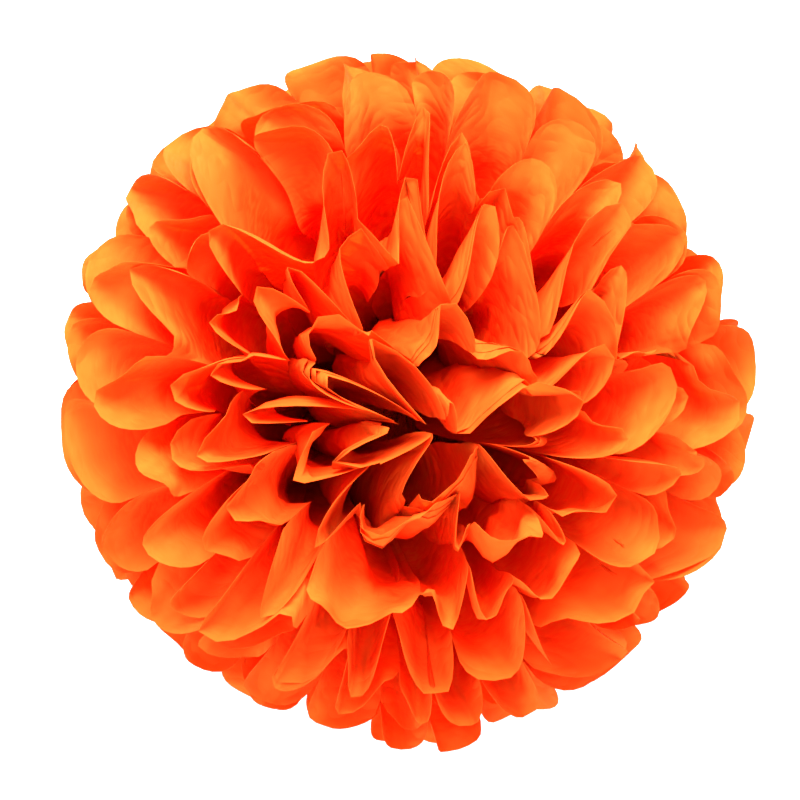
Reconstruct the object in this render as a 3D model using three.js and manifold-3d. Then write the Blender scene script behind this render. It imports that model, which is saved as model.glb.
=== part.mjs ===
// A tissue paper pom pom, standing on a table: twelve alike sheets of tissue, pleated together,
// gathered at the waist by one twisted wire, cut round at both ends and fluffed into a ball.
// Millimetres, +Z up. The origin is on the surface it stands on, under the middle of the ball,
// and the waist of every sheet runs along X, so the seams between a sheet's two fans face -Y and +Y.

import * as THREE from "three";
import { mergeVertices } from "three/addons/utils/BufferGeometryUtils.js";
import Module from "manifold-3d";

const wasm = await Module();
wasm.setup();

// The cut of one sheet, the same for all of them.
const PLEATS = 13; // panels across a sheet, so each fan has this many petals
const PLEAT_WIDTH = 32;
const SHEET_LENGTH = 254; // from petal tip to petal tip, through the waist
const SCALLOP_DEPTH = 13; // how far a petal's round end stands past its folds
const PAPER = 0.5; // a solid's thickness, which stands in for tissue of about 0.03 mm

// How the sheets are fluffed: the polar angle that a sheet's petals point along, from the top of the ball.
const UPPER_SHEETS = { count: 7, first: 10, last: 84 };
const LOWER_SHEETS = { count: 5, first: 97, last: 163 };

// The gathered waist, where the wire holds every sheet.
const WAIST_WIDTH = 12;
const WAIST_HALF = 3; // half the length of the flat strap under the wire
const WAIST_LAYER = 0.7; // a gathered sheet's thickness there
const WAIST_PITCH = 1.1;
const FAN_START = 8; // distance from the middle where the fan begins
const SEAM_HALF_GAP = 2.1; // between the fan's edge and the plane x = 0
const FULL_PLEAT_AT = 48; // distance from the middle by which the pleats stand at full depth
const STEEPEST_FOLD = THREE.MathUtils.degToRad(75);

// The meridian of a sheet leaves the waist level and then turns to its polar angle.
const LEVEL_RUN = 12;
const STRAIGHT_RUN = 70;

// The solid's resolution: distances of its rows from the middle, and segments in a petal's round end.
const NOTCH = SHEET_LENGTH / 2 - SCALLOP_DEPTH;
const ROWS = [0, WAIST_HALF, FAN_START, 20, FULL_PLEAT_AT, NOTCH];
const SCALLOP_SEGMENTS = 6;

// The wire that ties the waist, with its two ends twisted together along +Y, in the seam.
const WIRE_DIAMETER = 0.9;
const WIRE_CLEARANCE = 0.5;
const TWIST_RADIUS = 0.62;
const TWIST_TURNS = 3;
const TWIST_START = 10.5;
const TWIST_END = 30;

// The flat toes that the lowest petals bend into where the ball stands on them.
const TOE = { length: 12, width: 5, thickness: 0.6 };

const tissue = new THREE.MeshStandardMaterial({ color: 0xff6a1a, roughness: 0.85, metalness: 0 });
const wire = new THREE.MeshStandardMaterial({ color: 0x9a9a96, roughness: 0.4, metalness: 1 });

// Evenly spaced values from first to last.
function spread({ count, first, last }) {
  return Array.from({ length: count }, (_, i) => first + ((last - first) * i) / (count - 1));
}

// The cubic meridian, in the plane of radius and height, of a sheet whose petals reach that far out.
function meridianTo(reach, polar, waistHeight) {
  const out = new THREE.Vector2(Math.sin(polar), Math.cos(polar));
  const tip = out.clone().multiplyScalar(reach);
  return new THREE.CubicBezierCurve(
    new THREE.Vector2(FAN_START, waistHeight),
    new THREE.Vector2(FAN_START + LEVEL_RUN, waistHeight),
    tip.clone().addScaledVector(out, -STRAIGHT_RUN),
    tip,
  );
}

// The meridian whose length is what the sheet has, found by halving the range of its reach.
function meridianOf(polar, waistHeight) {
  const wanted = SHEET_LENGTH / 2 - FAN_START;
  let near = STRAIGHT_RUN;
  let far = SHEET_LENGTH;
  while (far - near > 0.01) {
    const middle = (near + far) / 2;
    if (meridianTo(middle, polar, waistHeight).getLength() < wanted) near = middle;
    else far = middle;
  }
  return meridianTo(near, polar, waistHeight);
}

// Azimuth of a fold, from the seam at -Y to the seam at +Y, at that radius.
function foldAzimuth(fold, radius) {
  const seam = Math.asin(SEAM_HALF_GAP / radius);
  return THREE.MathUtils.lerp(seam - Math.PI / 2, Math.PI / 2 - seam, fold / PLEATS);
}

// How steeply the panels zigzag: enough to take up the paper's width, and less towards the gathered waist.
function foldAngle(distance, radius) {
  const step = foldAzimuth(1, radius) - foldAzimuth(0, radius);
  const taken = Math.acos(Math.min(1, (radius * step) / PLEAT_WIDTH));
  const gathered = STEEPEST_FOLD * THREE.MathUtils.smoothstep(distance, 0, FULL_PLEAT_AT);
  return Math.min(taken, gathered, STEEPEST_FOLD);
}

// A sheet's middle surface at a fold, with the vector from it to the upper face.
function foldPoint(sheet, fold, distance) {
  if (distance <= WAIST_HALF) {
    const across = THREE.MathUtils.lerp(-WAIST_WIDTH / 2, WAIST_WIDTH / 2, fold / PLEATS);
    return {
      point: new THREE.Vector3(distance, across, sheet.waistHeight),
      half: new THREE.Vector3(0, 0, WAIST_LAYER / 2),
    };
  }
  const along = Math.min(1, (distance - FAN_START) / (SHEET_LENGTH / 2 - FAN_START));
  const spot = sheet.meridian.getPointAt(along);
  const run = sheet.meridian.getTangentAt(along);
  const azimuth = foldAzimuth(fold, spot.x);
  const outward = new THREE.Vector3(Math.cos(azimuth), Math.sin(azimuth), 0);
  const upward = outward.clone().multiplyScalar(-run.y).setZ(run.x);
  const angle = foldAngle(distance, spot.x);
  const step = spot.x * (foldAzimuth(1, spot.x) - foldAzimuth(0, spot.x));
  const rise = Math.min((step / 2) * Math.tan(angle), 0.6 * spot.x) * (fold % 2 ? -1 : 1);
  return {
    point: outward.multiplyScalar(spot.x).setZ(spot.y).addScaledVector(upward, rise),
    half: upward.multiplyScalar(PAPER / 2 / Math.cos(angle)),
  };
}

// A point of a panel, that share of the way from its first fold to its second.
function panelPoint(sheet, panel, share, distance) {
  const a = foldPoint(sheet, panel, distance);
  const b = foldPoint(sheet, panel + 1, distance);
  return { point: a.point.lerp(b.point, share), half: a.half.lerp(b.half, share) };
}

// The middle surface of one fan, as points and triangles that face up. Its first PLEATS + 1 points are the waist's.
function fanSurface(sheet) {
  const points = ROWS.flatMap((distance) =>
    Array.from({ length: PLEATS + 1 }, (_, fold) => foldPoint(sheet, fold, distance)),
  );
  const triangles = [];
  const at = (row, fold) => row * (PLEATS + 1) + fold;
  for (let panel = 0; panel < PLEATS; panel++) {
    for (let row = 0; row < ROWS.length - 1; row++) {
      triangles.push([at(row, panel), at(row + 1, panel), at(row + 1, panel + 1)]);
      triangles.push([at(row, panel), at(row + 1, panel + 1), at(row, panel + 1)]);
    }
    const rim = [];
    for (let i = 1; i < SCALLOP_SEGMENTS; i++) {
      const turn = (Math.PI * i) / SCALLOP_SEGMENTS;
      rim.push(points.length);
      points.push(panelPoint(sheet, panel, (1 - Math.cos(turn)) / 2, NOTCH + SCALLOP_DEPTH * Math.sin(turn)));
    }
    rim.push(at(ROWS.length - 1, panel + 1));
    for (let i = 0; i < rim.length - 1; i++) {
      triangles.push([at(ROWS.length - 1, panel), rim[i], rim[i + 1]]);
    }
  }
  return { points, triangles };
}

// Both fans of a sheet: the second is the first mirrored in x = 0, and they share the waist's points.
function sheetSurface(sheet) {
  const fan = fanSurface(sheet);
  const shared = PLEATS + 1;
  const mirror = new THREE.Vector3(-1, 1, 1);
  const other = fan.points.slice(shared).map(({ point, half }) => ({
    point: point.clone().multiply(mirror),
    half: half.clone().multiply(mirror),
  }));
  const moved = (i) => (i < shared ? i : i - shared + fan.points.length);
  const turned = fan.triangles.map(([a, b, c]) => [moved(a), moved(c), moved(b)]);
  return { points: [...fan.points, ...other], triangles: [...fan.triangles, ...turned] };
}

// A closed solid: the surface's upper and lower faces, and a wall along every edge that one triangle has.
function thicken({ points, triangles }) {
  const count = points.length;
  const corners = [
    ...points.map(({ point, half }) => point.clone().add(half)),
    ...points.map(({ point, half }) => point.clone().sub(half)),
  ];
  const faces = triangles.flatMap(([a, b, c]) => [
    [a, b, c],
    [a + count, c + count, b + count],
  ]);
  const edges = triangles.flatMap(([a, b, c]) => [
    [a, b],
    [b, c],
    [c, a],
  ]);
  const known = new Set(edges.map(([a, b]) => `${a} ${b}`));
  for (const [a, b] of edges) {
    if (known.has(`${b} ${a}`)) continue;
    faces.push([a, a + count, b + count], [a, b + count, b]);
  }
  return new THREE.BufferGeometry().setFromPoints(corners).setIndex(faces.flat());
}

// A geometry as a manifold-3d solid, once its doubled vertices are merged.
function solidOf(geometry) {
  const bare = new THREE.BufferGeometry()
    .setAttribute("position", geometry.getAttribute("position"))
    .setIndex(geometry.index);
  const merged = mergeVertices(bare, 1e-3);
  return new wasm.Manifold(
    new wasm.Mesh({
      numProp: 3,
      vertProperties: merged.attributes.position.array,
      triVerts: new Uint32Array(merged.index.array),
    }),
  );
}

// A manifold-3d solid as a geometry.
function geometryOf(solid) {
  const { numProp, vertProperties, triVerts } = solid.getMesh();
  const positions = new THREE.InterleavedBuffer(vertProperties, numProp);
  return new THREE.BufferGeometry()
    .setAttribute("position", new THREE.InterleavedBufferAttribute(positions, 3, 0))
    .setIndex(new THREE.BufferAttribute(triVerts, 1));
}

// A petal's bent tip: a flat half-round flap that lies on the table, from the tip sideways round the ball.
function toeGeometry(tip, azimuth) {
  const outline = new THREE.Shape().absellipse(0, 0, TOE.length / 2, TOE.width, 0, Math.PI, false);
  const flap = new THREE.ExtrudeGeometry(outline, {
    depth: TOE.thickness,
    bevelEnabled: false,
    curveSegments: 3,
  });
  return flap.rotateZ(azimuth).translate(tip.x, tip.y, -TOE.thickness / 2 + tip.z);
}

// The lowest sheet, cut level at the table and joined to a toe at each of its petals' tips.
function sheetWithToes(sheet) {
  const table = panelPoint(sheet, 0, 0.5, SHEET_LENGTH / 2).point.z - TOE.thickness / 2;
  let solid = solidOf(thicken(sheetSurface(sheet))).trimByPlane([0, 0, 1], table);
  for (let panel = 0; panel < PLEATS; panel++) {
    const tip = panelPoint(sheet, panel, 0.5, SHEET_LENGTH / 2).point;
    const azimuth = Math.atan2(tip.y, tip.x);
    const toe = toeGeometry(tip, azimuth);
    const opposite = toeGeometry(tip.clone().setX(-tip.x), Math.PI - azimuth);
    solid = solid.add(solidOf(toe)).add(solidOf(opposite));
  }
  return geometryOf(solid);
}

// The route of the tie wire: in along one twisted strand, once round the waist, and out along the other.
function wireRoute(stackHeight) {
  const aside = WAIST_WIDTH / 2 + WIRE_CLEARANCE + WIRE_DIAMETER / 2;
  const above = stackHeight / 2 + WIRE_CLEARANCE + WIRE_DIAMETER / 2;
  const corner = 1.2;
  const strand = (side) =>
    Array.from({ length: TWIST_TURNS * 6 + 1 }, (_, i) => {
      const share = i / (TWIST_TURNS * 6);
      const turn = share * TWIST_TURNS * 2 * Math.PI;
      return new THREE.Vector3(
        side * TWIST_RADIUS * Math.sin(turn),
        THREE.MathUtils.lerp(TWIST_START, TWIST_END, share),
        side * TWIST_RADIUS * Math.cos(turn),
      );
    });
  const loop = [
    [aside + 1.4, 1.4],
    [aside, 3.4],
    [aside, above - corner],
    [aside - corner, above],
    [0, above],
    [corner - aside, above],
    [-aside, above - corner],
    [-aside, 0],
    [-aside, corner - above],
    [corner - aside, -above],
    [0, -above],
    [aside - corner, -above],
    [aside, corner - above],
    [aside, -3.4],
    [aside + 1.4, -1.4],
  ].map(([y, z]) => new THREE.Vector3(0, y, z));
  return new THREE.CatmullRomCurve3([...strand(1).reverse(), ...loop, ...strand(-1)]);
}

// The tie wire as a round bar along its route.
function wireGeometry(stackHeight) {
  const section = new THREE.Shape().absarc(0, 0, WIRE_DIAMETER / 2, 0, 2 * Math.PI, false);
  return new THREE.ExtrudeGeometry(section, {
    steps: 84,
    curveSegments: 3,
    bevelEnabled: false,
    extrudePath: wireRoute(stackHeight),
  });
}

const polarAngles = [...spread(UPPER_SHEETS), ...spread(LOWER_SHEETS)];
const sheets = polarAngles.map((degrees, i) => {
  const waistHeight = ((polarAngles.length - 1) / 2 - i) * WAIST_PITCH;
  const polar = THREE.MathUtils.degToRad(degrees);
  return { waistHeight, meridian: meridianOf(polar, waistHeight) };
});
const lowest = sheets.at(-1);
const stackHeight = (sheets.length - 1) * WAIST_PITCH + WAIST_LAYER;

const pomPom = new THREE.Group();
pomPom.position.z = TOE.thickness / 2 - panelPoint(lowest, 6, 0.5, SHEET_LENGTH / 2).point.z;
sheets.forEach((sheet, i) => {
  const geometry = sheet === lowest ? sheetWithToes(sheet) : thicken(sheetSurface(sheet));
  const mesh = new THREE.Mesh(geometry, tissue);
  mesh.name = `tissue_sheet_${String(i + 1).padStart(2, "0")}`;
  pomPom.add(mesh);
});
const tie = new THREE.Mesh(wireGeometry(stackHeight), wire);
tie.name = "tie_wire";
pomPom.add(tie);

export default pomPom;
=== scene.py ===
"""A tissue paper pom pom: twelve pleated sheets of tissue, tied at the waist and fluffed into a ball.

Everything is in metres with +Z up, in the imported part's frame. Each sheet is folded from a flat grid of its
real size. Its petals are laid out on shells round the waist, where a sheet is a polar angle over azimuth and
distance, so that neighbouring sheets can be kept apart. A smooth flow then crumples all of them together.
"""

import logging
import math
from dataclasses import dataclass
from enum import Enum
from typing import Any

import bmesh
import bpy
import numpy as np
from mathutils import Matrix, Vector


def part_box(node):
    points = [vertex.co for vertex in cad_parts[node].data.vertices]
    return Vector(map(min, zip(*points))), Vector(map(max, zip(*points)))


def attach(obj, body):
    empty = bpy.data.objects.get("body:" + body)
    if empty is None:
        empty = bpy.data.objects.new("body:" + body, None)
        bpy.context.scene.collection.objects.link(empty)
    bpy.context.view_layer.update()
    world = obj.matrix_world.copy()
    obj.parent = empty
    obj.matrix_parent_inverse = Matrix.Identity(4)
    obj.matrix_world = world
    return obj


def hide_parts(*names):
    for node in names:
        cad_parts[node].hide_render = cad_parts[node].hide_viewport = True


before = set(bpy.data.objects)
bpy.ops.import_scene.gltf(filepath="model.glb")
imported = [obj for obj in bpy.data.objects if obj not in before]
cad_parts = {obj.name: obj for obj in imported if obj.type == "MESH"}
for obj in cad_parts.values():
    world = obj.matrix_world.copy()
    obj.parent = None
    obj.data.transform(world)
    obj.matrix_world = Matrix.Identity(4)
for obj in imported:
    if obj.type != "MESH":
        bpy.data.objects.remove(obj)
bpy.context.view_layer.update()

LOG = logging.getLogger("pom_pom")
MM = 0.001
BODY = "root"
WIRE_NODE = "tie_wire"
SHEET_NODES = sorted(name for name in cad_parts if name.startswith("tissue_sheet_"))

Colour = tuple[float, float, float, float]


class Value:
    """A node's output, used as a number in Python expressions."""

    def __init__(self, graph: "Graph", socket: bpy.types.NodeSocket) -> None:
        """Keeps the socket and the graph that it is in."""
        self.graph, self.socket = graph, socket

    def _math(self, operation: str, *terms: "Value | float") -> "Value":
        """Adds one Math node on the terms."""
        return self.graph.add("ShaderNodeMath", {"operation": operation}, dict(enumerate(terms)))

    def __add__(self, other: "Value | float") -> "Value":
        """The sum."""
        return self._math("ADD", self, other)

    __radd__ = __add__

    def __sub__(self, other: "Value | float") -> "Value":
        """The difference."""
        return self._math("SUBTRACT", self, other)

    def __rsub__(self, other: float) -> "Value":
        """The difference from a number."""
        return self._math("SUBTRACT", other, self)

    def __mul__(self, other: "Value | float") -> "Value":
        """The product."""
        return self._math("MULTIPLY", self, other)

    __rmul__ = __mul__

    def __truediv__(self, other: "Value | float") -> "Value":
        """The quotient."""
        return self._math("DIVIDE", self, other)

    def __pow__(self, power: float) -> "Value":
        """This one raised to a power."""
        return self._math("POWER", self, power)

    def __abs__(self) -> "Value":
        """The distance from zero."""
        return self._math("ABSOLUTE", self)

    def fraction(self) -> "Value":
        """What is left above the whole number below."""
        return self._math("FRACT", self)


class Graph:
    """The nodes of one material."""

    def __init__(self, name: str) -> None:
        """Starts an empty material.

        Args:
            name: the material's name.
        """
        self.material = bpy.data.materials.new(name)
        self.material.use_nodes = True
        self.tree = self.material.node_tree
        self.tree.nodes.clear()

    def add(
        self, kind: str, settings: dict[str, Any], sockets: dict[str | int, Any], output: int | str = 0
    ) -> Value:
        """Adds a node.

        Args:
            kind: the node's type.
            settings: its own settings, which are set first.
            sockets: what each of its sockets takes, a number, a colour or another node's output.
            output: which of its outputs is wanted.

        Returns:
            That output.
        """
        node = self.tree.nodes.new(kind)
        for name, setting in settings.items():
            setattr(node, name, setting)
        for name, given in sockets.items():
            if isinstance(given, Value):
                self.tree.links.new(given.socket, node.inputs[name])
            else:
                node.inputs[name].default_value = given
        return Value(self, node.outputs[output])

    def blend(self, share: Value, first: "Value | Colour", second: "Value | Colour") -> Value:
        """A colour between two, by the share of the second."""
        return self.add("ShaderNodeMix", {"data_type": "RGBA"}, {0: share, 6: first, 7: second}, 2)

    def smooth(self, value: Value, low: float, high: float) -> Value:
        """Goes smoothly from 0 at low to 1 at high."""
        limits = {"Value": value, "From Min": low, "From Max": high}
        return self.add("ShaderNodeMapRange", {"interpolation_type": "SMOOTHSTEP"}, limits)

    def noise(
        self, place: Value, size: float, squeeze: tuple[float, float, float] = (1, 1, 1),
        detail: float = 0.0, dimensions: str = "2D",
    ) -> Value:
        """Cloudy noise.

        Args:
            place: the coordinates.
            size: the clouds' size in metres.
            squeeze: what each coordinate is multiplied by.
            detail: how many finer octaves there are.
            dimensions: "2D" on a UV map and "3D" in space.

        Returns:
            A number about 0.5.
        """
        scaled = self.add("ShaderNodeMapping", {}, {"Vector": place, "Scale": squeeze})
        sockets = {"Vector": scaled, "Scale": 1 / size, "Detail": detail}
        return self.add("ShaderNodeTexNoise", {"noise_dimensions": dimensions}, sockets)

    def relief(self, height: Value) -> Value:
        """A normal that follows a height in metres."""
        return self.add("ShaderNodeBump", {}, {"Strength": 1.0, "Distance": 1.0, "Height": height})

    def finish(self, surface: Value) -> bpy.types.Material:
        """Sends a shader to the material's surface.

        Args:
            surface: the shader.

        Returns:
            The material.
        """
        output = self.tree.nodes.new("ShaderNodeOutputMaterial")
        self.tree.links.new(surface.socket, output.inputs["Surface"])
        return self.material


def ease(low: float, high: float, x: np.ndarray) -> np.ndarray:
    """Goes smoothly from 0 at low to 1 at high.

    Args:
        low: where it leaves 0.
        high: where it reaches 1.
        x: the values.

    Returns:
        One number from 0 to 1 for each value.
    """
    t = np.clip((x - low) / (high - low), 0.0, 1.0)
    return t * t * (3.0 - 2.0 * t)


def running(steps: np.ndarray, axis: int = 0) -> np.ndarray:
    """The sums of the steps so far, from 0, along one axis."""
    return np.insert(np.cumsum(steps, axis=axis), 0, 0.0, axis=axis)


def hump(x: "np.ndarray | Value") -> "np.ndarray | Value":
    """A hump that is 0 at 0 and at 1, and 1 halfway."""
    return 4 * x * (1 - x)


class Half(Enum):
    """The half of the ball that a sheet's petals open towards, with the sign of its pole's height."""

    UPPER = 1
    LOWER = -1


@dataclass(frozen=True)
class Cut:
    """One sheet of tissue as it is cut, the same for all of them."""

    STRIPS = 1000  # into which a panel is divided to find its area

    pleats: int = 13
    pleat_width: float = 32 * MM
    length: float = 254 * MM
    scallop: float = 13 * MM
    thickness: float = 0.07 * MM

    @property
    def width(self) -> float:
        """The flat sheet's width."""
        return self.pleats * self.pleat_width

    @property
    def half(self) -> float:
        """The distance from the waist to a petal's tip, along the paper."""
        return self.length / 2

    def reach(self, across: "np.ndarray | Value") -> "np.ndarray | Value":
        """The distance from the waist to the rounded end, at shares of a panel's width."""
        return self.half - self.scallop * (1 - hump(across) ** 0.5)

    @property
    def area(self) -> float:
        """The flat area that is left once the ends are rounded."""
        across = (np.arange(self.STRIPS) + 0.5) / self.STRIPS
        return 2 * self.width * float(self.reach(across).mean())


@dataclass(frozen=True)
class Waist:
    """The gathered middle, where the wire holds every sheet."""

    height: float
    width: float = 12 * MM
    strap: float = 3 * MM  # up to here the paper lies wholly as the wire holds it
    fan_start: float = 8 * MM
    release: float = 14 * MM  # where the paper is clear of the wire's pull
    pitch: float = 1.1 * MM
    level_run: float = 12 * MM
    straight_run: float = 70 * MM


@dataclass(frozen=True)
class Weave:
    """How finely a sheet's grid is divided."""

    columns: int = 14  # in one panel
    rows: int = 46  # from the fan's start to a petal's tip
    waist_rows: int = 3  # from the waist's middle to the fan's start

    @property
    def all_rows(self) -> int:
        """The rows from the waist's middle to a petal's tip."""
        return self.rows + self.waist_rows

    @property
    def across(self) -> np.ndarray:
        """Where a panel's columns stand across it, closer together towards its folds."""
        even = np.linspace(0, 1, self.columns + 1)
        return (even + (1 - np.cos(math.pi * even)) / 2) / 2


@dataclass(frozen=True)
class Layer:
    """How one sheet stands in the ball."""

    polar: float  # degrees from straight up
    petals: int  # in view in each half; the other panels are tucked behind them
    curl: float  # how far the petals' tips bend away from the pole
    half: Half = Half.UPPER


LAYERS = (
    Layer(2.5, 5, -7 * MM),
    Layer(10.5, 7, -2 * MM),
    Layer(20.5, 9, 5 * MM),
    Layer(31.5, 11, 8 * MM),
    Layer(43.0, 13, 7 * MM),
    Layer(55.0, 13, 5 * MM),
    Layer(68.0, 13, 4 * MM),
    Layer(85.0, 13, 2 * MM),
    Layer(106.0, 13, 2 * MM, Half.LOWER),
    Layer(124.0, 13, 3 * MM, Half.LOWER),
    Layer(142.0, 11, 4 * MM, Half.LOWER),
    Layer(161.0, 7, 3 * MM, Half.LOWER),
)


@dataclass(frozen=True)
class Fluff:
    """How unevenly the petals were pulled open by hand. Shares and curls are numbers without a unit."""

    seed: int = 7
    free: tuple[float, float] = (30 * MM, 115 * MM)  # where the waist lets go of the paper
    widths: float = 0.28  # spread of the petals' widths
    even: float = 0.5  # share of that spread where all the panels are in view
    shared: float = 0.85  # how far the whole stack's pleats were opened alike
    narrowest: float = 1.5 * MM
    lean: float = 4.0 * MM  # sideways, at the tips
    rise: float = 2.5 * MM  # of a fold above its neighbours, at the tips
    reach: float = 2.5 * MM  # spread of the petals' lengths
    dents: float = 2.7 * MM
    dent_count: int = 26
    dent_lengths: tuple[float, float] = (14 * MM, 60 * MM)
    dent_radius: float = 90 * MM  # where the dents have their true length round the ball
    slit: float = 8.0 * MM  # half the length of the line along which the halves meet at a pole
    slit_width: float = 28 * MM
    slit_heights: tuple[float, float] = (25 * MM, 100 * MM)
    seam: float = math.radians(5)  # how far the two halves' meeting wanders
    seam_run: tuple[float, float] = (20 * MM, 110 * MM)
    seam_gap: float = 0.5 * MM
    seam_share: float = 0.03  # of a fan's girth that the gap takes at most
    least_polar: float = math.radians(1.0)
    bundle: float = 8.0 * MM  # the radius within which no fold rises
    sag: float = 14.0 * MM  # about how deep the folds are between a sheet's two faces
    steepest: float = 1.6  # rise of a fold for its distance from the axis
    deepest_bow: float = 0.3  # of the radius
    least_room: float = 0.3  # radians from the axis, for a fold's room
    bowing: tuple[float, float] = (0.75, 1.0)  # share of a panel's slack that bows it, near its tip
    flat_bowing: float = 0.25  # share of that near the waist, for a level sheet
    opening: tuple[float, float] = (60 * MM, 105 * MM)  # where the panels open from folds to bows

    fold_curls: tuple[float, float] = (0.3, 0.9)  # mean and spread
    petal_curls: tuple[float, float] = (0.6, 0.8)
    petal_twist: float = 0.9
    furled: float = 2.2  # more curl, on a few petals
    furled_share: float = 0.16
    least_curl: float = 2 * MM
    curl_gain: float = 1.6
    curl_run: tuple[float, float] = (75 * MM, 135 * MM)
    curl_power: float = 1.4
    bulge: float = 3.0 * MM
    bulge_run: tuple[float, float] = (30 * MM, 127 * MM)

    tuck_inset: float = 0.03  # of a petal's width, on both sides of the panels behind it
    tuck_short: tuple[float, float] = (1.0 * MM, 7.0 * MM)
    tuck_out: float = 0.6  # of a petal's width, over which it comes out from behind its neighbour
    tuck_run: float = 40 * MM  # from where the lengths differ


@dataclass(frozen=True)
class Spacing:
    """How far paper is kept from paper."""

    nearest: float = 10 * MM  # the smallest shell
    leaf: float = 0.55 * MM  # from one tucked panel to the next
    leaf_share: float = 0.009  # of the radius, at most
    gap: float = 0.9 * MM  # from one sheet to the next
    gap_share: float = 0.02
    rounds: int = 90

    @staticmethod
    def at(size: float, share: float, radii: np.ndarray) -> np.ndarray:
        """A distance that shrinks towards the waist, at those radii."""
        return np.minimum(size, share * radii)


@dataclass(frozen=True)
class Flow:
    """The smooth flow that crumples all the sheets together."""

    reach: float = 7.0 * MM
    modes: int = 36
    steps: int = 8
    lengths: tuple[float, float] = (85 * MM, 160 * MM)
    start: tuple[float, float] = (8 * MM, 60 * MM)
    outline: tuple[float, float] = (80 * MM, 120 * MM)  # where the push in and out is taken away
    kept_in: float = 0.75  # how much of it
    core: float = 1 * MM  # within which the outward direction fades


@dataclass(frozen=True)
class Rest:
    """How the ball settles on the floor."""

    lowest: float = 0.3 * MM
    knee: float = 6 * MM  # the height below which the petals are pressed


class Dents:
    """A random dented surface over a fan: waves in all directions along the paper."""

    def __init__(self, fluff: Fluff, rng: np.random.Generator) -> None:
        """Draws the waves.

        Args:
            fluff: how deep the dents are.
            rng: the source of chance.
        """
        count = fluff.dent_count
        turns = rng.uniform(0, 2 * math.pi, count)
        lengths = np.exp(rng.uniform(*np.log(fluff.dent_lengths), count))
        self.waves = np.stack([np.cos(turns), np.sin(turns)]) * 2 * math.pi / lengths
        self.phases = rng.uniform(0, 2 * math.pi, count)
        self.depths = fluff.dents * lengths / np.sqrt((lengths**2).sum() / 2)

    def depth(self, along: np.ndarray, out: np.ndarray) -> np.ndarray:
        """How far the paper stands out.

        Args:
            along: distances round the fan.
            out: distances from the waist.

        Returns:
            The depth at each place.
        """
        total = np.zeros(np.broadcast(along, out).shape)
        for kx, ky, phase, depth in zip(*self.waves, self.phases, self.depths):
            total += depth * np.cos(kx * along + ky * out + phase)
        return total


class Shells:
    """The common grid on which sheets are kept apart: spheres round the waist, divided by azimuth."""

    def __init__(self, nearest: float, farthest: float, shells: int = 62, azimuths: int = 1440) -> None:
        """Lays the grid out.

        Args:
            nearest: the smallest shell's radius.
            farthest: the largest shell's radius.
            shells: how many shells.
            azimuths: how many directions on each.
        """
        self.radii = np.linspace(nearest, farthest, shells)
        self.azimuths = np.linspace(-math.pi, math.pi, azimuths, endpoint=False)


class Meridian:
    """The middle line of one sheet, from the waist out to its petals' tips."""

    PRECISION = 0.01 * MM
    POINTS = 240

    def __init__(self, cut: Cut, waist: Waist, polar: float, level: float) -> None:
        """Finds the line of the right length that ends along the polar angle.

        Args:
            cut: the sheet's cut.
            waist: the gathered waist.
            polar: the angle from straight up that the petals point along.
            level: the sheet's height in the waist's stack, from its middle.
        """
        near, far = waist.straight_run, cut.length
        while far - near > self.PRECISION:
            middle = (near + far) / 2
            points = self._points(waist, polar, level, middle)
            if self._lengths(points)[-1] < cut.half - waist.fan_start:
                near = middle
            else:
                far = middle
        points = self._points(waist, polar, level, near)
        self.lengths = waist.fan_start + self._lengths(points)
        self.radii = np.maximum.accumulate(np.hypot(points[:, 0], points[:, 1]))
        self.polars = np.arctan2(points[:, 0], points[:, 1])

    @staticmethod
    def _points(waist: Waist, polar: float, level: float, reach: float) -> np.ndarray:
        """Points of the cubic from the level start at the waist to the tip.

        Args:
            waist: the gathered waist.
            polar: the angle from straight up that the petals point along.
            level: the sheet's height in the waist's stack.
            reach: the tip's distance from the waist's middle.

        Returns:
            The points, as radius and height.
        """
        out = np.array([math.sin(polar), math.cos(polar)])
        ends = np.array([
            [waist.fan_start, level],
            [waist.fan_start + waist.level_run, level],
            out * (reach - waist.straight_run),
            out * reach,
        ])
        t = np.linspace(0, 1, Meridian.POINTS)[:, None]
        s = 1 - t
        return s**3 * ends[0] + 3 * s * s * t * ends[1] + 3 * s * t * t * ends[2] + t**3 * ends[3]

    @staticmethod
    def _lengths(points: np.ndarray) -> np.ndarray:
        """Lengths along the points."""
        return running(np.linalg.norm(np.diff(points, axis=0), axis=1))

    def polar_at(self, radii: np.ndarray) -> np.ndarray:
        """The polar angle where the line crosses shells of those radii."""
        return np.interp(radii, self.radii, self.polars)

    def radius_at(self, lengths: np.ndarray) -> np.ndarray:
        """The shell's radius at those distances along the paper."""
        return np.interp(lengths, self.lengths, self.radii)


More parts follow.
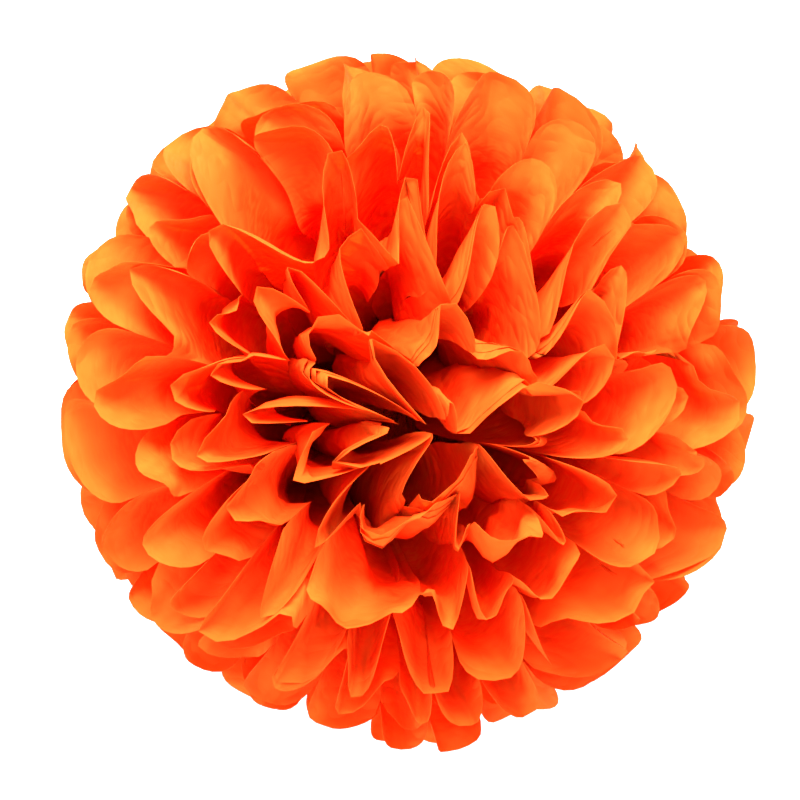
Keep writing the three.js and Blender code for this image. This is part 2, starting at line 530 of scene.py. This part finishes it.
class Fan:
    """One half of a pleated sheet: its petals in view, side by side, and the panels tucked behind them."""

    FINE = np.linspace(0, 1, 25)  # across a petal, where its width is measured
    HALVINGS = 20  # of the range in which an amplitude is looked for
    ARCH = 0.85  # the roundness of a bow

    def __init__(
        self, cut: Cut, weave: Weave, fluff: Fluff, shells: Shells, meridian: Meridian, layer: Layer,
        seam: np.ndarray, alike: np.ndarray, rng: np.random.Generator,
    ) -> None:
        """Opens the fan.

        Args:
            cut: the sheet's cut.
            weave: how finely it is divided.
            fluff: how unevenly it was pulled open.
            shells: the common grid.
            meridian: the sheet's middle line.
            layer: how the sheet stands.
            seam: how far the fan's two ends are turned.
            alike: how wide and how leaning each pleat of the whole stack was opened, from -1 to 1.
            rng: the source of chance.
        """
        self.cut, self.weave, self.fluff, self.layer, self.rng = cut, weave, fluff, layer, rng
        self.radii = shells.radii
        self.polar = meridian.polar_at(self.radii)
        deep = 0.5 * fluff.sag / cut.half * layer.half.value
        self.girth = self.radii * np.sin(self.polar + deep)
        self.loose = ease(*fluff.free, self.radii)
        self.tucks = self._tucked()
        self.folds = self._open(seam, alike)
        self.heights, self.sag = self._fold()
        self.fold_curl = rng.normal(*fluff.fold_curls, layer.petals + 1)
        self.petal_curl = rng.normal(*fluff.petal_curls, layer.petals)
        self.petal_curl += fluff.furled * (rng.random(layer.petals) < fluff.furled_share)
        self.petal_twist = rng.normal(0.0, fluff.petal_twist, layer.petals)
        self.dents = Dents(fluff, rng)
        self.fold_bulge = rng.normal(0, 1, layer.petals + 1)
        self._lay_columns()

    def _tucked(self) -> np.ndarray:
        """Shares out the panels that aren't in view.

        Returns:
            How many pairs of panels are tucked behind each petal in view.
        """
        petals = self.layer.petals
        pairs = (self.cut.pleats - petals) // 2
        tucks = np.full(petals, pairs // petals)
        tucks[self.rng.permutation(petals)[: pairs % petals]] += 1
        return tucks

    def _open(self, seam: np.ndarray, alike: np.ndarray) -> np.ndarray:
        """Spreads the folds in view round the ball.

        Args:
            seam: how far the fan's two ends are turned.
            alike: how wide and how leaning each pleat of the whole stack was opened.

        Returns:
            Their azimuths, fold by shell.
        """
        petals = self.layer.petals
        width, lean = self.rng.uniform(-1, 1, petals), self.rng.standard_normal(petals - 1)
        if petals == self.cut.pleats:
            shared = self.fluff.shared
            seam = (1 - shared) * seam
            width = self.fluff.even * ((1 - shared) * width + shared * alike[0])
            lean = (1 - shared) * lean + shared * alike[1, 1:]
        shift = seam[:, None] * ease(*self.fluff.seam_run, self.radii)
        gap = np.minimum(self.fluff.seam_gap, self.fluff.seam_share * self.girth) / self.girth
        start = -math.pi / 2 + shift[0] + gap
        span = math.pi / 2 + shift[1] - gap - start
        widths = np.exp(self.fluff.widths * width)
        places = running(widths / widths.sum())
        folds = start + places[:, None] * span
        folds[1:-1] += self.fluff.lean * lean[:, None] * self.loose / self.girth
        steps = np.clip(np.diff(folds, axis=0), self.fluff.narrowest / self.girth, None)
        steps *= span / steps.sum(axis=0)
        return start + running(steps)

    def _amplitude(self, run: np.ndarray, base: np.ndarray, shape: np.ndarray) -> np.ndarray:
        """How much of a shape makes each panel as long across as its paper.

        Args:
            run: the straight distance across it, petal by shell.
            base: rises that it has already, petal by shell by place.
            shape: the rises of the shape for an amplitude of one.

        Returns:
            The amplitude, petal by shell.
        """
        near = np.zeros(run.shape)
        far = np.full(run.shape, self.cut.pleat_width)
        flat = run[:, :, None] / (len(self.FINE) - 1)
        for _ in range(self.HALVINGS):
            middle = (near + far) / 2
            longer = np.hypot(flat, base + middle[:, :, None] * shape).sum(axis=2) > self.cut.pleat_width
            far = np.where(longer, middle, far)
            near = np.where(longer, near, middle)
        return near

    def _arch(self, x: np.ndarray) -> np.ndarray:
        """The bow of a panel between its two folds, which it meets at an edge."""
        return hump(x) ** self.ARCH

    def _fold(self) -> tuple[np.ndarray, np.ndarray]:
        """Takes up the paper's width in folds and bows.

        Returns:
            Heights of the folds towards the pole, and how deep each petal bows away from it, by shell.
        """
        petals, fluff = self.layer.petals, self.fluff
        run = np.diff(self.folds, axis=0) * self.girth
        bend = np.diff(self._arch(self.FINE))
        slope = np.diff(self.FINE)
        bowing = fluff.flat_bowing + (1 - fluff.flat_bowing) * abs(math.cos(self.polar[-1])) ** 0.5
        bowing = bowing + (1 - bowing) * ease(*fluff.opening, self.radii)
        share = bowing * self.rng.uniform(*fluff.bowing, petals)[:, None]
        poleward = np.minimum(self.polar, math.pi - self.polar)
        aside = self.radii * np.maximum(poleward, fluff.least_room)
        room = fluff.steepest * np.clip(np.minimum(self.radii - fluff.bundle, aside), 0, None)
        sag = self._amplitude(run, np.zeros(bend.shape), bend) * share
        sag = np.minimum(sag, np.minimum(fluff.deepest_bow * self.radii, room))
        depth = self._amplitude(run, sag[:, :, None] * bend, slope)
        depth = np.minimum(depth, room)
        sign = np.where(np.arange(petals) % 2 == 0, -1.0, 1.0)[:, None] * self.layer.half.value
        heights = running(sign * depth)
        order = np.arange(petals + 1)
        rim = order[0 if self.layer.half is Half.UPPER else 1 :: 2]
        level = np.array([np.interp(order, rim, column[rim]) for column in heights.T]).T
        rises = fluff.rise * self.rng.standard_normal(petals + 1)
        return heights - level + rises[:, None] * self.loose, sag

    def surface(self, petal: int, x: np.ndarray) -> tuple[np.ndarray, np.ndarray]:
        """Where a petal's face lies.

        Args:
            petal: the petal in view.
            x: shares of its width, shell by place.

        Returns:
            Azimuth and polar angle, shell by place.
        """
        fluff, away = self.fluff, self.layer.curl
        left, right = self.folds[petal][:, None], self.folds[petal + 1][:, None]
        low, high = self.heights[petal][:, None], self.heights[petal + 1][:, None]
        height = low + (high - low) * x - self.sag[petal][:, None] * self._arch(x)
        curl = self.fold_curl[petal] + (self.fold_curl[petal + 1] - self.fold_curl[petal]) * x
        curl = curl + self.petal_curl[petal] * hump(x)
        curl = curl + self.petal_twist[petal] * np.sin(2 * math.pi * x)
        bulge = self.fold_bulge[petal] + (self.fold_bulge[petal + 1] - self.fold_bulge[petal]) * x
        tip = fluff.curl_gain * ease(*fluff.curl_run, self.radii)[:, None] ** fluff.curl_power
        low, high = fluff.bulge_run
        belly = np.sin(math.pi * np.clip((self.radii - low) / (high - low), 0, 1))[:, None]
        height = height - tip * ((abs(away) + fluff.least_curl) * (curl - fluff.petal_curls[0]) + away)
        height = height - fluff.bulge * bulge * belly
        azimuth = left + (right - left) * x
        dents = self.dents.depth(azimuth * fluff.dent_radius, self.radii[:, None])
        height = height + dents * self.loose[:, None]
        polar = self.polar[:, None] - self.layer.half.value * height / self.radii[:, None]
        return azimuth, self._off_pole(polar)

    def _off_pole(self, polar: np.ndarray) -> np.ndarray:
        """Keeps a petal from crossing the axis, where it would meet the other half's.

        Args:
            polar: the polar angles.

        Returns:
            The polar angles, none of them on the axis.
        """
        least = self.fluff.least_polar
        if self.layer.half is Half.UPPER:
            return (polar + np.hypot(polar, 2 * least)) / 2
        polar = math.pi - polar
        return math.pi - (polar + np.hypot(polar, 2 * least)) / 2

    def front(self, petal: int, x: np.ndarray) -> np.ndarray:
        """How many layers a petal starts behind, coming out from those tucked behind the one before."""
        behind = 2 * self.tucks[petal - 1] if petal else 0
        return behind * (1 - ease(0.0, self.fluff.tuck_out, x))

    def outline(self) -> tuple[np.ndarray, np.ndarray, np.ndarray]:
        """The whole fan's face.

        Returns:
            Azimuth, polar angle and the number of layers tucked behind, shell by place.
        """
        x = np.tile(self.FINE[:-1], (len(self.radii), 1))
        parts = []
        for petal in range(self.layer.petals):
            azimuth, polar = self.surface(petal, x)
            parts.append((azimuth, polar, self.front(petal, x) + 2 * self.tucks[petal]))
        return tuple(np.concatenate(part, axis=1) for part in zip(*parts))

    def _lay_columns(self) -> None:
        """Lays the sheet's columns across the petals in view and back and forth behind them."""
        across, inset = self.weave.across, self.fluff.tuck_inset
        places, layers, petals, recede = [], [], [], []
        for petal in range(self.layer.petals):
            azimuth, polar = self.surface(petal, np.tile(self.FINE, (len(self.radii), 1)))
            steps = np.hypot(np.diff(azimuth) * self.girth[:, None], np.diff(polar) * self.radii[:, None])
            along = running(steps, axis=1)
            along /= along[:, -1:]
            x = np.array([np.interp(across, a, self.FINE) for a in along])
            short = abs(self.fluff.reach * self.rng.standard_normal())
            for panel in range(2 * self.tucks[petal] + 1):
                run = inset + (1 - 2 * inset) * x if panel else x
                run = run if panel % 2 == 0 else run[:, ::-1]
                layer = np.full(len(across), float(panel))
                layer[0] = panel - 0.5 if panel else 0.0
                behind = short + (self.rng.uniform(*self.fluff.tuck_short) if panel else 0.0)
                back = np.full(len(across), behind)
                places.append(run[:, :-1].T)
                layers.append(layer[:-1])
                recede.append(back[:-1])
                petals.append(np.full(len(across) - 1, petal))
        places.append(np.ones((1, len(self.radii))))
        layers.append([0.0])
        recede.append([0.0])
        petals.append([self.layer.petals - 1])
        self.x = np.concatenate(places)
        self.layers = np.concatenate(layers)
        self.recede = np.concatenate(recede)
        self.petal = np.concatenate(petals).astype(int)

    def columns(self, leaf: np.ndarray) -> tuple[np.ndarray, np.ndarray]:
        """Where every column of the sheet lies.

        Args:
            leaf: the distance from one tucked layer to the next, on each shell.

        Returns:
            Azimuth and polar angle, column by shell.
        """
        azimuths = np.zeros(self.x.shape)
        polars = np.zeros(self.x.shape)
        for petal in range(self.layer.petals):
            mine = self.petal == petal
            azimuth, polar = self.surface(petal, self.x[mine].T)
            behind = self.front(petal, self.x[mine]) + self.layers[mine][:, None]
            azimuths[mine] = azimuth.T
            polars[mine] = polar.T + self.layer.half.value * behind * leaf / self.radii
        return azimuths, polars


@dataclass
class Ball:
    """The twelve sheets, folded, fluffed and kept apart."""

    waist: Waist
    cut: Cut = Cut()
    weave: Weave = Weave()
    fluff: Fluff = Fluff()
    spacing: Spacing = Spacing()
    flow: Flow = Flow()
    rest: Rest = Rest()

    AXIS = 0.01 * MM  # the least distance from the axis that is divided by

    def __post_init__(self) -> None:
        """Works out what the sizes give, and starts the draws."""
        self.rng = np.random.default_rng(self.fluff.seed)
        self.alike = np.random.default_rng(self.fluff.seed).uniform(-1, 1, (2, 2, self.cut.pleats))
        self.shells = Shells(self.spacing.nearest, self.cut.half)
        middle = (len(LAYERS) - 1) / 2
        self.levels = [(middle - i) * self.waist.pitch for i in range(len(LAYERS))]
        self.leaf = self.spacing.at(self.spacing.leaf, self.spacing.leaf_share, self.shells.radii)
        self.meridians = [
            Meridian(self.cut, self.waist, math.radians(layer.polar), level)
            for layer, level in zip(LAYERS, self.levels)
        ]

    def _fans(self) -> list[tuple[Fan, Fan]]:
        """Folds both fans of every sheet.

        Returns:
            The fans, not yet kept apart.
        """
        made = []
        for layer, meridian in zip(LAYERS, self.meridians):
            seam = self.fluff.seam * self.rng.standard_normal(2)
            made.append(tuple(
                Fan(self.cut, self.weave, self.fluff, self.shells, meridian, layer, turn, alike, self.rng)
                for turn, alike in zip((seam, -seam), self.alike)
            ))
        return made

    def _shifts(self, sheets: list[tuple[Fan, Fan]]) -> np.ndarray:
        """How far each sheet has to turn from its place to clear its neighbours.

        Args:
            sheets: both fans of every sheet.

        Returns:
            The change in polar angle, sheet by shell by azimuth.
        """
        grid, radii = self.shells.azimuths, self.shells.radii
        tops = np.zeros((len(sheets), len(radii), len(grid)))
        bottoms = np.zeros(tops.shape)
        for i, fans in enumerate(sheets):
            sides = [fan.outline() for fan in fans]
            sides[1] = (math.pi - sides[1][0], *sides[1][1:])
            azimuth, polar, behind = (np.concatenate(part, axis=1) for part in zip(*sides))
            for j, leaf in enumerate(self.leaf):
                face = np.interp(grid, azimuth[j], polar[j], period=2 * math.pi)
                back = np.interp(grid, azimuth[j], behind[j], period=2 * math.pi) * leaf / radii[j]
                upper = LAYERS[i].half is Half.UPPER
                tops[i, j] = face if upper else face - back
                bottoms[i, j] = face + back if upper else face
        gap = (self.spacing.at(self.spacing.gap, self.spacing.gap_share, radii) / radii)[None, :, None]
        need = gap + bottoms[:-1] - tops[1:]
        shift = np.zeros(tops.shape)
        for _ in range(self.spacing.rounds):
            for parity in (0, 1):
                above, below = shift[parity:-1:2], shift[parity + 1 :: 2]
                push = np.clip(need[parity::2] - (below - above), 0, None) / 2
                above -= push
                below += push
        return shift

    def _crumple(self, points: np.ndarray) -> np.ndarray:
        """Carries all points along one smooth random flow, so that nothing crosses.

        Args:
            points: the points.

        Returns:
            Where the flow has carried them.
        """
        flow, modes = self.flow, self.flow.modes
        directions = self.rng.standard_normal((modes, 3))
        directions /= np.linalg.norm(directions, axis=1)[:, None]
        waves = directions * (2 * math.pi / self.rng.uniform(*flow.lengths, modes))[:, None]
        pushes = np.cross(directions, self.rng.standard_normal((modes, 3)))
        pushes /= math.sqrt(modes) * np.sqrt((pushes**2).mean())
        phases = self.rng.uniform(0, 2 * math.pi, modes)
        for _ in range(flow.steps):
            distance = np.linalg.norm(points, axis=1)[:, None]
            outward = points / np.maximum(distance, flow.core)
            velocity = np.cos(points @ waves.T + phases) @ pushes
            radial = (velocity * outward).sum(axis=1)[:, None] * outward
            velocity = velocity - flow.kept_in * ease(*flow.outline, distance) * radial
            points = points + velocity * ease(*flow.start, distance) * flow.reach / flow.steps
        return points

    def _draw_out(self, points: np.ndarray) -> np.ndarray:
        """Draws both poles out along the seam, so that the two halves' petals meet along a line.

        Args:
            points: the points, which are moved.

        Returns:
            The same points.
        """
        distance = np.maximum(np.hypot(points[:, 0], points[:, 1]), self.AXIS)
        high = ease(*self.fluff.slit_heights, np.abs(points[:, 2]))
        near = np.exp(-distance / self.fluff.slit_width)
        points[:, 1] += self.fluff.slit * high * points[:, 1] / distance * near
        return points

    def _settle(self, points: np.ndarray) -> np.ndarray:
        """Lifts what would be under the floor and presses what is just above it flat.

        Args:
            points: the points, which are moved.

        Returns:
            The same points.
        """
        low, knee = self.rest.lowest, self.rest.knee
        height = points[:, 2]
        pressed = low + (knee - low) * np.exp(np.minimum(height - knee, 0) / (knee - low))
        points[:, 2] = np.where(height < knee, pressed, height)
        return points

    def fold(self) -> list[np.ndarray]:
        """Folds, fluffs and settles the ball.

        Returns:
            Every sheet's points, as side, row and column.
        """
        fans = self._fans()
        shifts = self._shifts(fans)
        sheets = np.array([self._points(i, pair, shifts[i]) for i, pair in enumerate(fans)])
        points = self._crumple(self._draw_out(sheets.reshape(-1, 3)))
        points[:, 2] += self.waist.height
        return list(self._settle(points).reshape(sheets.shape))

    def lengths(self) -> np.ndarray:
        """How far along the paper each row and column of the grid is, in one half.

        Returns:
            The distance from the waist's middle, row by column.
        """
        turn = np.tile(self.weave.across[:-1], self.cut.pleats)
        across = np.append(turn, 1.0)
        reach = self.cut.reach(across)
        inner = np.linspace(0, self.waist.fan_start, self.weave.waist_rows + 1)[:-1]
        share = np.linspace(0, 1, self.weave.rows + 1)[:, None]
        outer = self.waist.fan_start + (reach - self.waist.fan_start) * share
        return np.concatenate([np.repeat(inner[:, None], outer.shape[1], axis=1), outer])

    def _points(self, index: int, fans: tuple[Fan, Fan], shift: np.ndarray) -> np.ndarray:
        """Lays one sheet's grid on its fans.

        Args:
            index: the sheet's place in the stack.
            fans: its two fans.
            shift: how far it turns to clear its neighbours.

        Returns:
            The sheet's points, as side, row and column.
        """
        lengths = self.lengths()
        radii, grid = self.shells.radii, self.shells.azimuths
        sides = []
        for sign, fan in zip((1, -1), fans):
            azimuths, polars = fan.columns(self.leaf)
            azimuths = azimuths if sign > 0 else math.pi - azimuths
            for j in range(len(radii)):
                polars[:, j] += np.interp(azimuths[:, j], grid, shift[j], period=2 * math.pi)
            distance = self.meridians[index].radius_at(lengths)
            distance -= fan.recede * ease(self.fluff.tuck_run, self.cut.half, lengths)
            columns = range(lengths.shape[1])
            azimuth = np.array([np.interp(distance[:, c], radii, azimuths[c]) for c in columns]).T
            polar = np.array([np.interp(distance[:, c], radii, polars[c]) for c in columns]).T
            level, height = np.sin(polar) * distance, np.cos(polar) * distance
            free = np.stack([level * np.cos(azimuth), level * np.sin(azimuth), height], axis=-1)
            turn = np.linspace(-math.pi / 2, math.pi / 2, lengths.shape[1])
            strap = np.stack([
                sign * np.minimum(lengths, self.waist.fan_start) * np.cos(turn),
                np.broadcast_to(np.sin(turn) * self.waist.width / 2, lengths.shape),
                np.full(lengths.shape, self.levels[index]),
            ], axis=-1)
            held = ease(self.waist.strap, self.waist.release, lengths)[..., None]
            sides.append(strap + (free - strap) * held)
        return np.array(sides)


@dataclass(frozen=True)
class TissueFinish:
    """Dyed tissue paper: matt, thin enough to glow, orange at its free ends, with painted shade that deepens
    it to red further in.
    """

    cut: Cut
    slot: str = "tissue"
    end_colour: Colour = (0.98, 0.172, 0.020, 1)
    # painted shade: the deep red the paper is given away from its free ends, where shade falls among the
    # sheets
    painted_shade_colour: Colour = (0.96, 0.024, 0.0008, 1)
    thin_colour: Colour = (0.98, 0.16, 0.006, 1)
    painted_shade_run: tuple[float, float] = (-4 * MM, 34 * MM)  # from the ends, where painted shade deepens the colour
    cloud: float = 11 * MM
    fibre: float = 0.9 * MM
    crease: float = 16 * MM
    crease_depth: float = 2.6 * MM
    fine_crease: float = 0.35  # of the long ones, in size and in depth
    wander: float = 24 * MM  # of the line where the painted shade starts, with the clouds
    mottle: tuple[float, float] = (0.6, 0.4)  # how much of the pale mottling is clouds and fibres
    mottled: tuple[float, float] = (0.42, 0.74)  # where it starts and where it is whole
    paleness: float = 0.30
    roughness: float = 0.78
    roughness_spread: float = 0.2
    specular: float = 0.03
    translucency: float = 0.44
    translucency_spread: float = 0.15

    def _from_end(self, graph: Graph, flat: Value) -> Value:
        """How far a place is from the rounded end of its panel.

        Args:
            graph: the material's nodes.
            flat: the place on the flat sheet.

        Returns:
            The distance in metres.
        """
        across = graph.add("ShaderNodeSeparateXYZ", {}, {0: flat}, "X")
        along = graph.add("ShaderNodeSeparateXYZ", {}, {0: flat}, "Y")
        share = (across / self.cut.pleat_width).fraction()
        return self.cut.reach(share) - abs(along)

    def _height(self, graph: Graph, flat: Value) -> Value:
        """The paper's fine relief, which is all creases, long ones and short ones.

        Args:
            graph: the material's nodes.
            flat: the place on the flat sheet.

        Returns:
            The height in metres.
        """
        large = graph.noise(flat, self.crease, (1.0, 0.6, 1.0))
        small = graph.noise(flat, self.fine_crease * self.crease, (0.8, 1.0, 1.0))
        return (abs(large - 0.5) + self.fine_crease * abs(small - 0.5)) * self.crease_depth

    def material(self) -> bpy.types.Material:
        """Mixes the paper.

        Returns:
            The finished material.
        """
        graph = Graph(self.slot)
        flat = graph.add("ShaderNodeUVMap", {"uv_map": "flat"}, {})
        clouds = graph.noise(flat, self.cloud, (1.0, 0.7, 1.0), 1.0)
        fibres = graph.noise(flat, self.fibre, (0.35, 1.0, 1.0))
        # Painted shade: the orange of the free ends deepens to red further in, where shade falls among the
        # sheets.
        inward = self._from_end(graph, flat) + (clouds - 0.5) * self.wander
        deep = graph.smooth(inward, *self.painted_shade_run)
        orange_with_painted_shade = graph.blend(deep, self.end_colour, self.painted_shade_colour)
        pale = graph.smooth(clouds * self.mottle[0] + fibres * self.mottle[1], *self.mottled)
        colour = graph.blend(self.paleness * pale, orange_with_painted_shade, self.end_colour)
        bump = graph.relief(self._height(graph, flat))
        opaque = graph.add("ShaderNodeBsdfPrincipled", {}, {
            "Base Color": colour,
            "Roughness": self.roughness + (fibres - 0.5) * self.roughness_spread,
            "Specular IOR Level": self.specular,
            "Normal": bump,
        })
        thin = graph.add("ShaderNodeBsdfTranslucent", {}, {"Color": self.thin_colour, "Normal": bump})
        share = self.translucency + (fibres + clouds - 1.0) * self.translucency_spread
        return graph.finish(graph.add("ShaderNodeMixShader", {}, {0: share, 1: opaque, 2: thin}))


@dataclass(frozen=True)
class WireFinish:
    """Drawn steel wire with a dull zinc coat."""

    slot: str = "wire"
    bright: Colour = (0.62, 0.62, 0.60, 1)
    dull: Colour = (0.36, 0.36, 0.35, 1)
    spangle: float = 1.6 * MM
    spangle_depth: float = 0.02 * MM
    spangle_edge: tuple[float, float] = (0.35, 0.65)
    scratch: float = 0.12 * MM
    scratch_depth: float = 0.006 * MM
    roughness: float = 0.3
    roughness_spread: float = 0.25

    def material(self) -> bpy.types.Material:
        """Mixes the metal.

        Returns:
            The finished material.
        """
        graph = Graph(self.slot)
        place = graph.add("ShaderNodeTexCoord", {}, {}, "Object")
        spangles = graph.noise(place, self.spangle, dimensions="3D")
        scratches = graph.noise(place, self.scratch, (1.0, 0.1, 1.0), 2.0, "3D")
        height = spangles * self.spangle_depth + scratches * self.scratch_depth
        return graph.finish(graph.add("ShaderNodeBsdfPrincipled", {}, {
            "Base Color": graph.blend(graph.smooth(spangles, *self.spangle_edge), self.dull, self.bright),
            "Metallic": 1.0,
            "Roughness": self.roughness + self.roughness_spread * scratches,
            "Normal": graph.relief(height),
        }))


@dataclass(frozen=True)
class FloorFinish:
    """Plain white card."""

    colour: Colour = (0.95, 0.94, 0.93, 1)
    grain: float = 3 * MM
    roughness: float = 0.85
    roughness_spread: float = 0.1

    def material(self) -> bpy.types.Material:
        """Mixes the card.

        Returns:
            The finished material.
        """
        graph = Graph("floor")
        grain = graph.noise(graph.add("ShaderNodeTexCoord", {}, {}, "Object"), self.grain)
        return graph.finish(graph.add("ShaderNodeBsdfPrincipled", {}, {
            "Base Color": self.colour,
            "Roughness": self.roughness + self.roughness_spread * grain,
        }))


@dataclass(frozen=True)
class Petals:
    """One sheet of tissue in the ball, as a piece of its own."""

    node: str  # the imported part's node that it stands for
    index: int  # its place in the stack, from the top
    ball: Ball

    @property
    def name(self) -> str:
        """The piece's own name."""
        return self.node.replace("tissue_sheet", "petal_sheet")

    def _grid(self) -> tuple[bpy.types.Mesh, np.ndarray, np.ndarray]:
        """The flat sheet's grid.

        Returns:
            The mesh, and every vertex's row, counted from the waist with the far side below 0, and column.
        """
        rows, columns = self.ball.weave.all_rows, self.ball.weave.columns * self.ball.cut.pleats
        flat = bmesh.new()
        bmesh.ops.create_grid(flat, x_segments=columns, y_segments=2 * rows, size=0.5)
        mesh = bpy.data.meshes.new(self.name)
        flat.to_mesh(mesh)
        flat.free()
        places = np.zeros(len(mesh.vertices) * 3)
        mesh.vertices.foreach_get("co", places)
        across, along, _ = places.reshape(-1, 3).T
        return mesh, np.rint(along * 2 * rows).astype(int), np.rint((across + 0.5) * columns).astype(int)

    def _map(self, mesh: bpy.types.Mesh, row: np.ndarray, column: np.ndarray) -> None:
        """Adds the UV map of the flat sheet, in metres, with each sheet beside the one before.

        Args:
            mesh: the sheet's mesh.
            row: every vertex's row.
            column: every vertex's column.
        """
        cut, weave = self.ball.cut, self.ball.weave
        corner = np.zeros(len(mesh.loops), dtype=np.int32)
        mesh.loops.foreach_get("vertex_index", corner)
        along = self.ball.lengths()[np.abs(row), column] * np.where(row < 0, -1, 1)
        panel, inside = np.divmod(column, weave.columns)
        across = (panel + weave.across[inside]) * cut.pleat_width + self.index * cut.width
        places = np.stack([across, along], axis=-1)
        mesh.uv_layers.new(name="flat").data.foreach_set("uv", places[corner].ravel())

    def _crease(self, mesh: bpy.types.Mesh, row: np.ndarray, column: np.ndarray) -> None:
        """Shades the sheet smooth but for its creases and its free ends.

        Args:
            mesh: the sheet's mesh.
            row: every vertex's row.
            column: every vertex's column.
        """
        mesh.polygons.foreach_set("use_smooth", np.ones(len(mesh.polygons), dtype=bool))
        ends = np.zeros(len(mesh.edges) * 2, dtype=np.int32)
        mesh.edges.foreach_get("vertices", ends)
        first, second = ends.reshape(-1, 2).T
        along = column[first] == column[second]
        crease = along & (column[first] % self.ball.weave.columns == 0)
        end = ~along & (np.abs(row)[first] == self.ball.weave.all_rows)
        mesh.attributes.new("sharp_edge", "BOOLEAN", "EDGE").data.foreach_set("value", crease | end)

    def build(self, points: np.ndarray) -> bpy.types.Object:
        """Folds the sheet from its flat grid and gives the paper its thickness.

        Args:
            points: the sheet's points, as side, row and column.

        Returns:
            The sheet as an object.
        """
        mesh, row, column = self._grid()
        side = (row < 0).astype(int)
        mesh.vertices.foreach_set("co", points[side, np.abs(row), column].ravel())
        self._map(mesh, row, column)
        self._crease(mesh, row, column)
        mesh.update()
        made = bpy.data.objects.new(self.name, mesh)
        bpy.context.scene.collection.objects.link(made)
        paper = made.modifiers.new("paper", "SOLIDIFY")
        paper.thickness = self.ball.cut.thickness
        paper.offset = 0
        return made

    def dress(self, made: bpy.types.Object, tissue: bpy.types.Material, finish: TissueFinish) -> None:
        """Gives the sheet its paper and its place in the part.

        Args:
            made: the sheet.
            tissue: the paper's material.
            finish: the paper's finish; not used.
        """
        made.data.materials.append(tissue)
        cut = self.ball.cut
        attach(made, BODY)
        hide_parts(self.node)
        cut.area


@dataclass(frozen=True)
class TieWire:
    """The wire round the waist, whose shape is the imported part's own."""

    node: str = WIRE_NODE

    @property
    def height(self) -> float:
        """The height of the waist's middle, about which the wire's two ends lie level."""
        low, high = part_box(self.node)
        return (low.z + high.z) / 2

    def dress(self, finish: WireFinish) -> None:
        """Gives the wire its metal.

        Args:
            finish: the wire's finish.
        """
        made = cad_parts[self.node].data
        made.materials.clear()
        made.materials.append(finish.material())


class Lamp(Enum):
    """The studio's soft lamps: each one's place, width in metres and power in watts."""

    KEY = ((1.1, 0.1, 1.1), 0.9, 84)
    OVERHEAD = ((0.0, 0.0, 1.8), 1.4, 12)
    FILL = ((-1.2, 0.2, 0.7), 1.2, 24)


@dataclass(frozen=True)
class Studio:
    """The floor, the lamps and the camera, which looks down on the ball."""

    middle_height: float = 120 * MM  # of the ball
    floor_size: float = 6.0
    floor_drop: float = 0.5 * MM
    sky: float = 1.0
    distance: float = 0.725
    lens: float = 89.5
    tilt: float = math.radians(8.7)
    towards: tuple[float, float, float] = (-0.866, -0.5, 0.0)  # where the axis leans, seen from the camera
    offset: tuple[float, float, float] = (-0.0005, 0.0018, 0.0)

    @property
    def middle(self) -> Vector:
        """The ball's middle."""
        return Vector((0, 0, self.middle_height))

    def _floor(self) -> None:
        """Lays the floor."""
        bpy.ops.mesh.primitive_plane_add(size=self.floor_size, location=(0, 0, -self.floor_drop))
        floor = bpy.context.object
        floor.name = "floor"
        floor.data.materials.append(FloorFinish().material())

    def _sky(self) -> None:
        """Fills the room with even white light."""
        world = bpy.data.worlds.new("studio")
        bpy.context.scene.world = world
        world.use_nodes = True
        background = world.node_tree.nodes["Background"]
        background.inputs["Color"].default_value = (1, 1, 1, 1)
        background.inputs["Strength"].default_value = self.sky

    def _lamp(self, lamp: Lamp) -> None:
        """Hangs a lamp that shines on the ball.

        Args:
            lamp: which one.
        """
        place, size, power = lamp.value
        data = bpy.data.lights.new(lamp.name.lower(), "AREA")
        data.size = size
        data.energy = power
        made = bpy.data.objects.new(data.name, data)
        made.location = place
        made.rotation_mode = "QUATERNION"
        made.rotation_quaternion = (self.middle - made.location).to_track_quat("-Z", "Y")
        bpy.context.scene.collection.objects.link(made)

    def _camera(self) -> None:
        """Sets the camera up over the ball, with +X up in its view."""
        data = bpy.data.cameras.new("camera")
        data.lens = self.lens
        made = bpy.data.objects.new("camera", data)
        back = (Vector((0, 0, 1)) - Vector(self.towards) * math.tan(self.tilt)).normalized()
        right = Vector((0, -1, 0))
        right = (right - back * right.dot(back)).normalized()
        place = self.middle + Vector(self.offset) + back * self.distance
        turn = Matrix((right, back.cross(right), back)).transposed().to_4x4()
        made.matrix_world = Matrix.Translation(place) @ turn
        bpy.context.scene.collection.objects.link(made)
        bpy.context.scene.camera = made

    def build(self) -> None:
        """Sets the studio up."""
        bpy.context.scene.view_settings.view_transform = "Standard"
        self._floor()
        self._sky()
        for lamp in Lamp:
            self._lamp(lamp)
        self._camera()


def main() -> None:
    """Builds the ball, its wire and the studio."""
    wire = TieWire()
    wire.dress(WireFinish())
    LOG.info("%s: zinc-coated wire", wire.node)
    ball = Ball(Waist(height=wire.height))
    finish = TissueFinish(ball.cut)
    tissue = finish.material()
    for index, (node, points) in enumerate(zip(SHEET_NODES, ball.fold())):
        sheet = Petals(node, index, ball)
        sheet.dress(sheet.build(points), tissue, finish)
        LOG.info("%s: %d petals in view in each half", sheet.name, LAYERS[index].petals)
    Studio().build()


if __name__ == "__main__":
    logging.basicConfig(level=logging.INFO)
    main()
